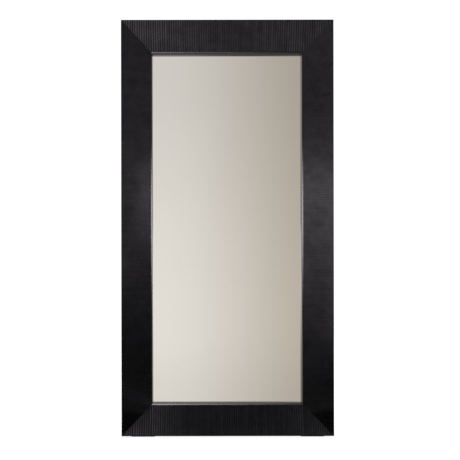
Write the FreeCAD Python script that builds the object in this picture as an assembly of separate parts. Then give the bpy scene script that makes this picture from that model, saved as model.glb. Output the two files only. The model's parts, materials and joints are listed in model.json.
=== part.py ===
import FreeCAD, Part
import math
import os

from FreeCAD import Placement, Rotation, Vector

# A tall floor mirror in a reeded, mitred frame. Sizes are in millimetres.
# X runs across the mirror, the front faces -Y and Z is up.
# The origin is under the middle of the mirror, on the floor.

# Overall size, from the floor to the top edge
overall_width = 1088.0
overall_height = 2134.0
frame_depth = 94.0

# Reeded face, which slopes back from the outer edge to the inner edge
face_width = 149.0
face_drop = 42.0
facing_thickness = 12.0
face_arris_radius = 3.0
reed_pitch = 11.8
reed_height = 1.6

# Slip, the smooth strip between the reeds and the glass
slip_width = 6.0
slip_setback = 4.0
slip_arris_radius = 1.6
glass_reveal = 27.0

# Glass, its cushion tape and its packers
glass_thickness = 5.0
glass_cover = 16.0
glass_edge_gap = 2.0
tape_thickness = 1.0
tape_width = 12.0
tape_setback = 2.0
packer_length = 60.0
packer_place_share = 0.25

# Backing board in its own step of the rebate
board_thickness = 8.0
board_shelf_width = 16.0
board_edge_gap = 2.0
board_screw_spacing = 230.0
board_screw_end_distance = 90.0
board_screw_length = 22.0
board_screw_shank_radius = 1.75
board_screw_head_radius = 3.5

# Tongue across each mitre, let into both rails
tongue_thickness = 8.0
tongue_half_width = 18.0
tongue_start = 25.0
tongue_end = 105.0
tongue_front = 56.0
tongue_clearance = 0.2

# Flat steel brace on the back of each corner
brace_inset = 45.0
brace_leg_length = 125.0
brace_leg_width = 25.0
brace_thickness = 2.0
brace_corner_radius = 4.0
brace_hole_end_distance = 14.0
brace_hole_spacing = 31.0
brace_holes_per_leg = 3
brace_screw_length = 30.0
brace_screw_shank_radius = 2.0
brace_screw_head_radius = 4.0

# Strap hanger on the back of each side rail
hanger_drop = 430.0
hanger_inset = 62.0
strap_length = 72.0
strap_width = 22.0
strap_thickness = 2.4
strap_sheet = 1.2
strap_hole_start = 20.0
strap_hole_spacing = 20.0
strap_holes = 3
strap_screw_length = 25.0
strap_screw_shank_radius = 2.0
strap_screw_head_radius = 4.0

# Ring that swings in the eye of the strap
ring_wire_radius = 2.0
ring_bar_length = 24.0
ring_bend_radius = 4.0
ring_leg_length = 10.0
ring_clearance = 0.3

# Rubber bumper at each corner of the back
bumper_inset = 22.0
bumper_height = 8.0
bumper_base_radius = 11.0
bumper_face_radius = 9.0
bumper_arris_radius = 1.0
bumper_stem_radius = 3.0
bumper_stem_length = 12.0

# Pads under the bottom rail
pad_length = 120.0
pad_thickness = 3.0
pad_edge_margin = 3.0
pad_inset = 110.0
pad_corner_radius = 5.0
pad_screw_spacing = 80.0
pad_screw_sink = 0.8
pad_screw_length = 16.0
pad_screw_shank_radius = 1.5
pad_screw_head_radius = 3.0

# Values shared by all screws and their holes
screw_clearance = 0.1
screw_point_share = 0.2
recess_span_share = 0.62
recess_width_share = 0.2
recess_depth_share = 0.7

# How far a cutting solid runs past what it cuts
overrun = 5.0

# Heights and depths that follow from the sizes above
overall_depth = frame_depth + bumper_height
front_y = -overall_depth / 2
back_y = front_y + frame_depth
bottom_z = pad_thickness
top_z = overall_height
frame_height = top_z - bottom_z
middle_z = (top_z + bottom_z) / 2
face_angle = math.atan2(face_drop, face_width)
facing_depth = facing_thickness / math.cos(face_angle)

# Depths behind the front of the frame
slip_front = face_drop + slip_setback
glass_front = slip_front + glass_reveal
tape_front = glass_front - tape_thickness
board_front = glass_front + glass_thickness
board_back = board_front + board_thickness

# Distances in from the outer edge of the frame
rail_width = face_width + slip_width
glass_edge = rail_width - glass_cover
glass_rebate = glass_edge - glass_edge_gap
board_rebate = glass_rebate - board_shelf_width
board_edge = board_rebate + board_edge_gap
board_screw_line = (board_edge + glass_rebate) / 2

# Each side: turn about Y from the top rail, middle of its outer edge, length
SIDES = {
    "top": (0, Vector(0, front_y, top_z), overall_width),
    "right": (90, Vector(overall_width / 2, front_y, middle_z), frame_height),
    "bottom": (180, Vector(0, front_y, bottom_z), overall_width),
    "left": (270, Vector(-overall_width / 2, front_y, middle_z), frame_height),
}

# Each corner: turn about Y from the top right corner, and its outer point
CORNERS = {
    "top_right": (0, Vector(overall_width / 2, 0, top_z)),
    "bottom_right": (90, Vector(overall_width / 2, 0, bottom_z)),
    "bottom_left": (180, Vector(-overall_width / 2, 0, bottom_z)),
    "top_left": (270, Vector(-overall_width / 2, 0, top_z)),
}

# Each hanger: the middle of its ring's axis, on the back of the side rail
hanger_x = overall_width / 2 - hanger_inset
hanger_z = top_z - hanger_drop
HANGERS = {
    "left": Vector(-hanger_x, back_y, hanger_z),
    "right": Vector(hanger_x, back_y, hanger_z),
}

TO_BACK = Rotation(Vector(1, 0, 0), -90)
TO_FLOOR = Rotation(Vector(1, 0, 0), 180)


def moved(shape, place, rotation=Rotation()):
    """A copy of the shape, turned about the origin and then moved."""
    copy = shape.copy()
    copy.Placement = Placement(place, rotation) * shape.Placement
    return copy


def about_y(degrees):
    return Rotation(Vector(0, 1, 0), degrees)


def solid_from(points, direction):
    """A closed outline pulled along a direction."""
    wire = Part.makePolygon(points + points[:1])
    return Part.Face(wire).extrude(direction)


def box(low, high):
    size = high - low
    return Part.makeBox(size.x, size.y, size.z, low)


def rounded_box(low, high, radius, axis):
    """A box whose edges along one axis are rounded."""
    block = box(low, high)
    edges = [edge for edge in block.Edges if abs(edge.tangentAt(0).dot(axis)) > 0.5]
    return block.makeFillet(radius, edges)


# Screws

def screw_profile(length, shank_radius, head_radius, point_length):
    """Half of a countersunk screw's outline, with its head's face at the origin."""
    head_height = head_radius - shank_radius
    return [
        Vector(0, 0, 0),
        Vector(head_radius, 0, 0),
        Vector(shank_radius, 0, -head_height),
        Vector(shank_radius, 0, point_length - length),
        Vector(0, 0, -length),
    ]


def turned(points):
    wire = Part.makePolygon(points + points[:1])
    return Part.Face(wire).revolve(Vector(), Vector(0, 0, 1), 360)


def screw(length, shank_radius, head_radius):
    """A countersunk screw that points down, with a cross recess in its head."""
    body = turned(screw_profile(length, shank_radius, head_radius, length * screw_point_share))
    span = head_radius * recess_span_share
    half_width = head_radius * recess_width_share / 2
    depth = (head_radius - shank_radius) * recess_depth_share
    for reach_x, reach_y in ((span, half_width), (half_width, span)):
        body = body.cut(box(Vector(-reach_x, -reach_y, -depth), Vector(reach_x, reach_y, overrun)))
    return body


def screw_hole(length, shank_radius, head_radius):
    """The countersunk hole that the screw fits, open past the face."""
    wall = screw_clearance
    shank = Part.makeCylinder(shank_radius + wall, length + wall, Vector(0, 0, -length - wall))
    head_height = head_radius - shank_radius
    sink = Part.makeCone(shank_radius + wall, head_radius + wall, head_height, Vector(0, 0, -head_height))
    mouth = Part.makeCylinder(head_radius + wall, overrun)
    return shank.fuse([sink, mouth])


def drill(shape, tool, places, rotation):
    """The shape with one hole at each place that it reaches."""
    tools = [moved(tool, place, rotation) for place in places]
    near = [hole for hole in tools if hole.BoundBox.intersect(shape.BoundBox)]
    return shape.cut(near) if near else shape


def copies(shape, places, rotation):
    return Part.makeCompound([moved(shape, place, rotation) for place in places])


# Rails: each is drawn as the top rail, with its outer edge along X at height zero

def mitre_block(length, outer, inner):
    """The space between a rail's two mitres, from outer to inner distance."""
    half = length / 2
    front = -overrun
    points = [
        Vector(-half + outer, front, -outer),
        Vector(half - outer, front, -outer),
        Vector(half - inner, front, -inner),
        Vector(-half + inner, front, -inner),
    ]
    return solid_from(points, Vector(0, frame_depth + 2 * overrun, 0))


def mitred_bar(section, length):
    """A section of (distance in, depth) points run along the rail and mitred."""
    points = [Vector(-length / 2, depth, -inward) for inward, depth in section]
    bar = solid_from(points, Vector(length, 0, 0))
    return bar.common(mitre_block(length, -overrun, rail_width + overrun))


def rail(length):
    """The timber rail, with a step for the glass and a step for the board."""
    section = [
        (0, facing_depth),
        (face_width, facing_depth + face_drop),
        (face_width, tape_front),
        (glass_rebate, tape_front),
        (glass_rebate, board_front),
        (board_rebate, board_front),
        (board_rebate, frame_depth),
        (0, frame_depth),
    ]
    return mitred_bar(section, length)


def arris_block(length):
    """The space behind the facing's rounded outer arris."""
    def point(inward, depth):
        return Vector(-length / 2, depth, -inward)

    radius = face_arris_radius
    turn = radius * (1 - math.cos(math.pi / 4))
    inner = face_width + overrun
    back = frame_depth + overrun
    edges = [
        Part.Arc(point(0, radius), point(turn, turn), point(radius, 0)).toShape(),
        Part.makeLine(point(radius, 0), point(inner, 0)),
        Part.makeLine(point(inner, 0), point(inner, back)),
        Part.makeLine(point(inner, back), point(0, back)),
        Part.makeLine(point(0, back), point(0, radius)),
    ]
    return Part.Face(Part.Wire(edges)).extrude(Vector(length, 0, 0))


def facing(length):
    """The reeded facing: round reeds that run across the rail, down its slope."""
    along_slope = Vector(0, math.sin(face_angle), -math.cos(face_angle))
    outward = Vector(0, -math.cos(face_angle), -math.sin(face_angle))
    start = along_slope * -overrun
    reeds = round(length / reed_pitch)
    pitch = length / reeds

    def point(x, height):
        return start + Vector(x, 0, 0) + outward * height

    edges = []
    for index in range(reeds):
        low_x = index * pitch - length / 2
        valley = point(low_x, -reed_height)
        crest = point(low_x + pitch / 2, 0)
        next_valley = point(low_x + pitch, -reed_height)
        edges.append(Part.Arc(valley, crest, next_valley).toShape())
    right_valley = point(length / 2, -reed_height)
    right_base = point(length / 2, -facing_thickness)
    left_base = point(-length / 2, -facing_thickness)
    left_valley = point(-length / 2, -reed_height)
    edges.append(Part.makeLine(right_valley, right_base))
    edges.append(Part.makeLine(right_base, left_base))
    edges.append(Part.makeLine(left_base, left_valley))
    slope_length = math.hypot(face_width, face_drop) + facing_thickness + 2 * overrun
    board = Part.Face(Part.Wire(edges)).extrude(along_slope * slope_length)
    return board.common(mitre_block(length, 0, face_width)).common(arris_block(length))


def slip(length):
    """The smooth strip at the sight edge, with a rounded front arris."""
    def point(inward, depth):
        return Vector(-length / 2, depth, -inward)

    radius = slip_arris_radius
    turn = radius * (1 - math.cos(math.pi / 4))
    arc_start = point(rail_width - radius, slip_front)
    arc_middle = point(rail_width - turn, slip_front + turn)
    arc_end = point(rail_width, slip_front + radius)
    outer_front = point(face_width, slip_front)
    outer_back = point(face_width, tape_front)
    inner_back = point(rail_width, tape_front)
    edges = [
        Part.makeLine(outer_front, arc_start),
        Part.Arc(arc_start, arc_middle, arc_end).toShape(),
        Part.makeLine(arc_end, inner_back),
        Part.makeLine(inner_back, outer_back),
        Part.makeLine(outer_back, outer_front),
    ]
    bar = Part.Face(Part.Wire(edges)).extrude(Vector(length, 0, 0))
    return bar.common(mitre_block(length, -overrun, rail_width + overrun))


def tape(length):
    """The cushion tape between the rail and the front of the glass."""
    inner = rail_width - tape_setback
    outer = inner - tape_width
    section = [(outer, tape_front), (inner, tape_front), (inner, glass_front), (outer, glass_front)]
    return mitred_bar(section, length)


# Glass, packers and backing board

def sheet(edge, front, thickness):
    """A flat sheet whose edges lie a distance in from the frame's outer edge."""
    low = Vector(edge - overall_width / 2, front_y + front, bottom_z + edge)
    high = Vector(overall_width / 2 - edge, front_y + front + thickness, top_z - edge)
    return box(low, high)


def glass_packer(side, along):
    """A packer that fills the gap between the glass and the rail on one side."""
    half = packer_length / 2
    low = Vector(along - half, glass_front, -glass_edge)
    high = Vector(along + half, board_front, -glass_rebate)
    degrees, place, _ = SIDES[side]
    return moved(box(low, high), place, about_y(degrees))


def packer_places(side):
    length = SIDES[side][2] - 2 * glass_edge
    offset = length * (0.5 - packer_place_share)
    return [-offset, offset]


def board_screw_places():
    """Places round the backing board, evenly spaced along each side."""
    places = []
    for degrees, place, length in SIDES.values():
        run = length - 2 * (board_screw_line + board_screw_end_distance)
        gaps = max(1, round(run / board_screw_spacing))
        for index in range(gaps + 1):
            along = run * (index / gaps - 0.5)
            point = Vector(along, board_back, -board_screw_line)
            places.append(place + about_y(degrees).multVec(point))
    return places


# Corners: each is drawn at the top right corner, with the outer point at the origin

def tongue(clearance):
    """The loose tongue that crosses a mitre, grown by a clearance for its slot."""
    stretch = math.sqrt(2)
    start = tongue_start * stretch - clearance
    end = tongue_end * stretch + clearance
    half = tongue_half_width + clearance
    front = front_y + tongue_front - clearance
    back = front_y + tongue_front + tongue_thickness + clearance
    flat = box(Vector(-end, front, -half), Vector(-start, back, half))
    return moved(flat, Vector(), about_y(-45))


def brace_hole_points():
    """Hole places on the back brace, three along each leg."""
    line = brace_inset + brace_leg_width / 2
    first = brace_inset + brace_leg_length - brace_hole_end_distance
    points = []
    for index in range(brace_holes_per_leg):
        along = first - index * brace_hole_spacing
        points.append(Vector(-along, 0, -line))
        points.append(Vector(-line, 0, -along))
    return points


def brace():
    """The flat steel corner brace, without its holes."""
    outer = brace_inset
    inner = brace_inset + brace_leg_width
    end = brace_inset + brace_leg_length
    outline = [(outer, outer), (end, outer), (end, inner), (inner, inner), (inner, end), (outer, end)]
    points = [Vector(-x, back_y, -z) for x, z in outline]
    plate = solid_from(points, Vector(0, brace_thickness, 0))
    ends = [edge for edge in plate.Edges if abs(edge.tangentAt(0).y) > 0.5]
    return plate.makeFillet(brace_corner_radius, ends)


def corner_place(name):
    degrees, place = CORNERS[name]
    return place, about_y(degrees)


def brace_screw_places():
    places = []
    for name in CORNERS:
        corner, turn = corner_place(name)
        for point in brace_hole_points():
            places.append(corner + turn.multVec(point) + Vector(0, back_y + brace_thickness, 0))
    return places


# Hangers: each is drawn with the middle of the ring's axis over the origin

eye_bore_radius = ring_wire_radius + ring_clearance
eye_outer_radius = eye_bore_radius + strap_sheet


def strap():
    """The folded strap, flat on the rail, with the eye rolled at its lower end."""
    half = strap_width / 2
    round_z = strap_length - half
    flat = box(Vector(-half, 0, 0), Vector(half, strap_thickness, round_z))
    end = Part.makeCylinder(half, strap_thickness, Vector(0, 0, round_z), Vector(0, 1, 0))
    eye_start = Vector(-half, eye_outer_radius, 0)
    across = Vector(1, 0, 0)
    eye = Part.makeCylinder(eye_outer_radius, strap_width, eye_start, across)
    bore_start = eye_start - across * overrun
    bore = Part.makeCylinder(eye_bore_radius, strap_width + 2 * overrun, bore_start, across)
    return flat.fuse([end, eye]).removeSplitter().cut(bore)


def strap_hole_points():
    return [Vector(0, strap_thickness, strap_hole_start + index * strap_hole_spacing)
            for index in range(strap_holes)]


def ring():
    """The D-shaped ring, hanging down from its straight bar."""
    bar = ring_bar_length / 2
    bend = ring_bend_radius
    wide = bar + bend
    leg_end = -bend - ring_leg_length
    turn = bend * (1 - math.cos(math.pi / 4))

    def point(x, z):
        return Vector(x, eye_outer_radius, z)

    right_bend = Part.Arc(point(bar, 0), point(wide - turn, -turn), point(wide, -bend))
    bow = Part.Arc(point(wide, leg_end), point(0, leg_end - wide), point(-wide, leg_end))
    left_bend = Part.Arc(point(-wide, -bend), point(turn - wide, -turn), point(-bar, 0))
    path = Part.Wire([
        Part.makeLine(point(0, 0), point(bar, 0)),
        right_bend.toShape(),
        Part.makeLine(point(wide, -bend), point(wide, leg_end)),
        bow.toShape(),
        Part.makeLine(point(-wide, leg_end), point(-wide, -bend)),
        left_bend.toShape(),
        Part.makeLine(point(-bar, 0), point(0, 0)),
    ])
    section = Part.Wire([Part.makeCircle(ring_wire_radius, point(0, 0), Vector(1, 0, 0))])
    return path.makePipeShell([section], True, False)


# Bumpers and pads

def bumper():
    """A push-in rubber bumper that stands on the back, with its stem in the rail."""
    head = Part.makeCone(bumper_base_radius, bumper_face_radius, bumper_height)
    rim = [edge for edge in head.Edges if edge.BoundBox.ZMin > bumper_height / 2]
    head = head.makeFillet(bumper_arris_radius, rim)
    stem = Part.makeCylinder(bumper_stem_radius, bumper_stem_length, Vector(0, 0, -bumper_stem_length))
    return head.fuse(stem).removeSplitter()


def bumper_hole():
    radius = bumper_stem_radius + screw_clearance
    length = bumper_stem_length + screw_clearance
    return Part.makeCylinder(radius, length + overrun, Vector(0, 0, -length))


def bumper_place(name):
    corner, turn = corner_place(name)
    inward = turn.multVec(Vector(-bumper_inset, 0, -bumper_inset))
    return corner + inward + Vector(0, back_y, 0)


pad_x = overall_width / 2 - pad_inset
PADS = {"left": -pad_x, "right": pad_x}


def pad(x):
    """A pad that nearly fills the depth of the frame, rounded at its corners."""
    half = pad_length / 2
    low = Vector(x - half, front_y + pad_edge_margin, 0)
    high = Vector(x + half, back_y - pad_edge_margin, pad_thickness)
    return rounded_box(low, high, pad_corner_radius, Vector(0, 0, 1))


def pad_screw_points(x):
    middle_y = (front_y + back_y) / 2
    return [Vector(x + side * pad_screw_spacing / 2, middle_y, pad_screw_sink) for side in (-1, 1)]


def main():
    pieces = {}

    # Timber, reeded facings, slips and tapes of the four sides
    for side, (degrees, place, length) in SIDES.items():
        turn = about_y(degrees)
        pieces[side + "_rail"] = moved(rail(length), place, turn)
        pieces[side + "_facing"] = moved(facing(length), place, turn)
        pieces[side + "_slip"] = moved(slip(length), place, turn)
        pieces[side + "_glass_tape"] = moved(tape(length), place, turn)
    rails = [side + "_rail" for side in SIDES]

    # Glass on its packers, and the backing board behind it
    pieces["mirror_glass"] = sheet(glass_edge, glass_front, glass_thickness)
    pieces["setting_blocks"] = Part.makeCompound(
        [glass_packer("bottom", along) for along in packer_places("bottom")])
    pieces["edge_packers"] = Part.makeCompound(
        [glass_packer(side, along) for side in ("top", "left", "right") for along in packer_places(side)])
    pieces["backing_board"] = sheet(board_edge, board_front, board_thickness)

    # Tongues in the mitres, and their slots
    for name in CORNERS:
        place, turn = corner_place(name)
        pieces[name + "_tongue"] = moved(tongue(0), place, turn)
        slot = moved(tongue(tongue_clearance), place, turn)
        for rail_name in rails:
            if slot.BoundBox.intersect(pieces[rail_name].BoundBox):
                pieces[rail_name] = pieces[rail_name].cut(slot)

    # Corner braces
    for name in CORNERS:
        place, turn = corner_place(name)
        pieces[name + "_brace"] = moved(brace(), place, turn)
    braces = [name + "_brace" for name in CORNERS]

    # Strap hangers and their rings
    strap_places = {}
    for side, place in HANGERS.items():
        pieces[side + "_hanger_strap"] = moved(strap(), place)
        pieces[side + "_hanger_ring"] = moved(ring(), place)
        strap_places[side] = [place + point for point in strap_hole_points()]

    # Bumpers on the back and pads on the floor
    bumper_places = {name: bumper_place(name) for name in CORNERS}
    for name, place in bumper_places.items():
        pieces[name + "_bumper"] = moved(bumper(), place, TO_BACK)
    pad_places = []
    for side, x in PADS.items():
        pieces[side + "_floor_pad"] = pad(x)
        pad_places += pad_screw_points(x)

    # Each kind of screw: its sizes, where its heads lie, which way it faces, what it holds
    screw_sets = {
        "backing_screws": (
            (board_screw_length, board_screw_shank_radius, board_screw_head_radius),
            board_screw_places(), TO_BACK, rails + ["backing_board"]),
        "brace_screws": (
            (brace_screw_length, brace_screw_shank_radius, brace_screw_head_radius),
            brace_screw_places(), TO_BACK, rails + braces),
        "floor_pad_screws": (
            (pad_screw_length, pad_screw_shank_radius, pad_screw_head_radius),
            pad_places, TO_FLOOR, ["bottom_rail", "left_floor_pad", "right_floor_pad"]),
    }
    for side in HANGERS:
        screw_sets[side + "_strap_screws"] = (
            (strap_screw_length, strap_screw_shank_radius, strap_screw_head_radius),
            strap_places[side], TO_BACK, [side + "_rail", side + "_hanger_strap"])
    for name, (sizes, places, rotation, held) in screw_sets.items():
        pieces[name] = copies(screw(*sizes), places, rotation)
        hole = screw_hole(*sizes)
        for held_name in held:
            pieces[held_name] = drill(pieces[held_name], hole, places, rotation)
    for rail_name in rails:
        pieces[rail_name] = drill(pieces[rail_name], bumper_hole(), bumper_places.values(), TO_BACK)

    os.makedirs("parts", exist_ok=True)
    for name, shape in pieces.items():
        shape.exportStep(os.path.join("parts", name + ".step"))
        valid = "valid" if shape.isValid() else "NOT VALID"
        print(name, len(shape.Solids), "solids", round(shape.Volume), "mm3", valid)


main()
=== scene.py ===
import json
from math import atan2, cos, hypot, pi, radians, sin

import bmesh
import bpy
from bpy.props import FloatProperty, FloatVectorProperty, PointerProperty
from mathutils import Matrix, Vector


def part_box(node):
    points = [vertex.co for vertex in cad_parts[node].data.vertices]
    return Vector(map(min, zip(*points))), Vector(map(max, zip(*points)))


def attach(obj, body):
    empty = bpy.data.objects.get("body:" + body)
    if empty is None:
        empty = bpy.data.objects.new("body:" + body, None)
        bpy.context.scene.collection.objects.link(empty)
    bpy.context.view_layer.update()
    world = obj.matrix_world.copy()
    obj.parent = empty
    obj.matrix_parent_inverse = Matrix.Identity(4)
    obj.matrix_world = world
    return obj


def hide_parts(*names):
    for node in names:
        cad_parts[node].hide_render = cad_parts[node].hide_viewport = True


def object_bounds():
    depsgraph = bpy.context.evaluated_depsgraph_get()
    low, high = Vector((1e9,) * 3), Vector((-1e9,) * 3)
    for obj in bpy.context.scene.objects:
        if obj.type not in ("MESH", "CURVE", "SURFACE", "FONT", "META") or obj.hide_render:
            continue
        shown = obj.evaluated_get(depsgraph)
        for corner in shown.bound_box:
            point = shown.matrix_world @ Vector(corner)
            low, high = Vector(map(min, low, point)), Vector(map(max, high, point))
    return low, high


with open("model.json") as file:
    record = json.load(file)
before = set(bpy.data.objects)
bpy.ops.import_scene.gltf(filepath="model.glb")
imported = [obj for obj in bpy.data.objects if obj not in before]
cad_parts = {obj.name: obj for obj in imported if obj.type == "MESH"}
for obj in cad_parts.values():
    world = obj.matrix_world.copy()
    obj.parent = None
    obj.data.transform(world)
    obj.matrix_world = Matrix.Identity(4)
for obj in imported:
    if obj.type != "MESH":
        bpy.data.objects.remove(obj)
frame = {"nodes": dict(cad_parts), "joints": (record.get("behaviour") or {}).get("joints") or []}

bl_info = {
    "name": "Reeded floor mirror",
    "version": (1, 0, 0),
    "blender": (4, 5, 0),
    "location": "3D View > Sidebar > Floor mirror",
    "description": "Dresses the floor mirror's frame with its finished pieces and sets up a studio",
    "category": "Object",
}

# The frame's box at rest, before anything is added
CAD_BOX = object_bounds()
BOX_LOW, BOX_HIGH = (Vector(corner) for corner in CAD_BOX)

# The timber frame's back face and lower edge
FRAME_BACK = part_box("top_rail")[1].y
FRAME_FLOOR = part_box("bottom_rail")[0].z

# Rails in order: turn about Y from the top rail
RAIL_TURNS = {"top": 0, "right": 90, "bottom": 180, "left": 270}
LEVEL_RAILS = ("top", "bottom")

# Corners in order: turn about Y from the top right corner
CORNER_TURNS = {"top_right": 0, "bottom_right": 90, "bottom_left": 180, "top_left": 270}

# Sides that have a hanger and a floor pad
HANDS = ("left", "right")

# Directions that a fitting's outer face looks in
TO_BACK = Matrix.Rotation(radians(-90), 4, "X")
TO_FLOOR = Matrix.Rotation(radians(180), 4, "X")

# Reach, shank radius and head radius of each kind of screw
BOARD_SCREW = (0.022, 0.00175, 0.0035)
BRACE_SCREW = (0.030, 0.002, 0.004)
STRAP_SCREW = (0.025, 0.002, 0.004)
PAD_SCREW = (0.016, 0.0015, 0.003)

# Painted shade in each rail's grooves, which also thins their gloss: its strength, and how far from a reed's
# middle, as shares of the pitch, it starts and is full
GROOVE_SHADE = {
    "top": (0.4, 0.38, 0.43), "right": (0.35, 0.38, 0.43),
    "bottom": (1.0, 0.33, 0.39), "left": (0.05, 0.38, 0.43)}

# How strongly each slip's front edge is painted with a highlight
SLIP_HIGHLIGHT = {"top": 1.0, "right": 0.25, "bottom": 2.1, "left": 0.25}


# Sizes and colours

def length(name, description, default):
    return FloatProperty(name=name, description=description, default=default, unit="LENGTH")


def power(name, description, default):
    return FloatProperty(name=name, description=description, default=default, unit="POWER")


def colour(name, description, default):
    return FloatVectorProperty(
        name=name, description=description, subtype="COLOR", size=3, min=0.0, max=1.0, default=default)


class FrameSizes(bpy.types.PropertyGroup):
    face_width: length("Face width", "Width of the reeded face, seen from the front", 0.149)
    face_drop: length("Face drop", "How far the face falls back from its outer to its inner edge", 0.042)
    facing_thickness: length("Facing thickness", "Thickness of the reeded facing", 0.012)
    face_arris: length("Face arris", "Rounding of the face's outer edge", 0.0014)
    reed_pitch: length("Reed pitch", "Distance from one reed to the next", 0.0118)
    reed_land: length("Reed land", "Width of an upright reed between its shoulders", 0.0102)
    reed_height: length("Reed height", "Depth of the groove between two upright reeds", 0.0014)
    reed_arris: length("Reed arris", "Rounding of an upright reed's shoulders", 0.0008)
    side_reed_land: length("Side reed land", "Width of a side rail's reed between its shoulders", 0.0114)
    side_reed_height: length("Side reed height", "Depth of the groove between a side rail's reeds", 0.0008)
    side_reed_arris: length("Side reed arris", "Rounding of the shoulders of a side rail's reed", 0.0002)
    mitre_gap: length("Mitre gap", "Half of the fine joint line at each mitre", 0.0002)
    slip_width: length("Slip width", "Width of the smooth strip beside the glass", 0.006)
    slip_arris: length("Slip arris", "Rounding of the slip's front edge", 0.0034)
    glass_arris: length("Glass arris", "Width of the ground edges of the glass", 0.0006)
    rebate_gap: length("Rebate gap", "Room round the glass and round the backing board", 0.002)
    board_shelf: length("Board shelf", "Width of the step that the backing board rests on", 0.016)
    rail_arris: length("Rail arris", "Rounding of the back edges of the rails", 0.002)


class FittingSizes(bpy.types.PropertyGroup):
    board_screw_end: length("Board screw end distance", "From the board's corner to its first screw", 0.09)
    board_screw_spacing: length("Board screw spacing", "Distance between the board's screws", 0.23)
    brace_inset: length("Brace inset", "From the frame's outer edge to the brace", 0.045)
    brace_leg: length("Brace leg", "Length of each leg of a brace", 0.125)
    brace_width: length("Brace width", "Width of each leg of a brace", 0.025)
    brace_thickness: length("Brace thickness", "Thickness of a brace", 0.002)
    brace_corner: length("Brace corner", "Rounding of a brace's corners", 0.004)
    brace_arris: length("Brace arris", "Rounding of a brace's outer edges and hole rims", 0.0002)
    brace_sink: length("Brace sink", "Depth of the cones of a brace's holes", 0.003)
    brace_hole_end: length("Brace hole end distance", "From a leg's end to its first hole", 0.014)
    brace_hole_spacing: length("Brace hole spacing", "Distance between a brace's holes", 0.031)
    strap_length: length("Strap length", "From the ring's axis to the top of the strap", 0.072)
    strap_width: length("Strap width", "Width of a strap hanger", 0.022)
    strap_sheet: length("Strap sheet", "Thickness of the sheet that a strap is folded from", 0.0012)
    strap_sink: length("Strap sink", "Depth of the cones of a strap's holes", 0.0035)
    strap_hole_spacing: length("Strap hole spacing", "Distance between a strap's holes", 0.020)
    ring_wire: length("Ring wire", "Radius of the ring's wire", 0.002)
    ring_bar: length("Ring bar", "Length of the ring's straight bar", 0.024)
    ring_bend: length("Ring bend", "Radius of the ring's upper bends", 0.004)
    ring_leg: length("Ring leg", "Length of the ring's straight legs", 0.010)
    ring_play: length("Ring play", "Room round the ring's bar in the eye of the strap", 0.0003)
    pad_arris: length("Pad arris", "Rounding of a floor pad's edges", 0.0007)
    pad_corner: length("Pad corner", "Rounding of a floor pad's corners", 0.005)
    pad_screw_spacing: length("Pad screw spacing", "Distance between a pad's screws", 0.08)
    pad_screw_sink: length("Pad screw sink", "How far a pad's screws lie in its underside", 0.0008)


class FinishColours(bpy.types.PropertyGroup):
    lacquer: colour("Lacquer", "Near-black lacquer on the reeds and rails", (0.0050, 0.0044, 0.0050))
    worn: colour("Worn lacquer", "Thinner lacquer where edges have rubbed", (0.030, 0.024, 0.021))
    slip: colour("Slip", "Black lacquer of the slips", (0.004, 0.0038, 0.004))
    # The slips' front edge is this grey metal, which carries a painted highlight
    highlight_grey: colour("Burnished edge", "Graphite grey of the slips' front edge", (0.17, 0.16, 0.17))
    silver: colour("Silver", "Warm tone of the silvering", (0.89, 0.865, 0.82))
    board: colour("Board", "Bare brown fibreboard", (0.235, 0.138, 0.074))
    fleck: colour("Fleck", "Dark flecks in the fibreboard", (0.10, 0.055, 0.030))
    zinc: colour("Zinc", "Bright zinc plating of braces and straps", (0.60, 0.61, 0.60))
    screw: colour("Screws", "Yellow zinc plating of the screws", (0.60, 0.49, 0.27))
    nickel: colour("Nickel", "Nickel plating of the rings", (0.66, 0.62, 0.56))
    rubber: colour("Rubber", "Bumpers and pads", (0.022, 0.021, 0.020))
    dust_and_shade: colour("Dust", "Dust on the rubber", (0.10, 0.095, 0.09))
    ply: colour("Ply", "Bare plywood of the tongues", (0.55, 0.38, 0.20))
    foam: colour("Foam", "Foam tapes in front of the glass", (0.012, 0.012, 0.012))
    packer: colour("Packers", "Plastic blocks round the glass", (0.05, 0.05, 0.052))


class StudioLights(bpy.types.PropertyGroup):
    window_power: power("Window power", "Power of the soft light on the left", 2.0)
    window_colour: colour("Window colour", "Colour of the soft light on the left", (0.90, 0.94, 1.0))
    fill_power: power("Fill power", "Power of the weaker light on the right", 1.0)
    fill_colour: colour("Fill colour", "Colour of the weaker light on the right", (0.90, 0.94, 1.0))
    back_power: power("Back light power", "Power of the soft light behind the mirror", 40.0)
    back_colour: colour("Back light colour", "Colour of the soft light behind", (1.0, 0.98, 0.95))
    ambient: FloatProperty(
        name="Ambient", description="Strength of the even light from all round", default=0.4)


class FloorMirror(bpy.types.PropertyGroup):
    """All that a user can set."""
    sizes: PointerProperty(type=FrameSizes)
    fittings: PointerProperty(type=FittingSizes)
    colours: PointerProperty(type=FinishColours)
    lights: PointerProperty(type=StudioLights)


# Shader nodes as expressions

class Signal:
    """A shader socket that takes part in sums."""

    def __init__(self, finish, socket):
        self.finish = finish
        self.socket = socket

    def __abs__(self):
        return self.finish.maths("ABSOLUTE", self)


def give_sum(name, operation):
    """Gives signals an operator, and its reflected form for a number that stands first."""
    setattr(Signal, "__" + name + "__", lambda self, other: self.finish.maths(operation, self, other))
    setattr(Signal, "__r" + name + "__", lambda self, other: self.finish.maths(operation, other, self))


for sum_name, node_name in (("add", "ADD"), ("sub", "SUBTRACT"), ("mul", "MULTIPLY"), ("truediv", "DIVIDE")):
    give_sum(sum_name, node_name)


class Outputs:
    """A node whose outputs are read by name or number."""

    def __init__(self, finish, made):
        self.finish = finish
        self.made = made

    def __getitem__(self, name):
        return Signal(self.finish, self.made.outputs[name])


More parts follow.
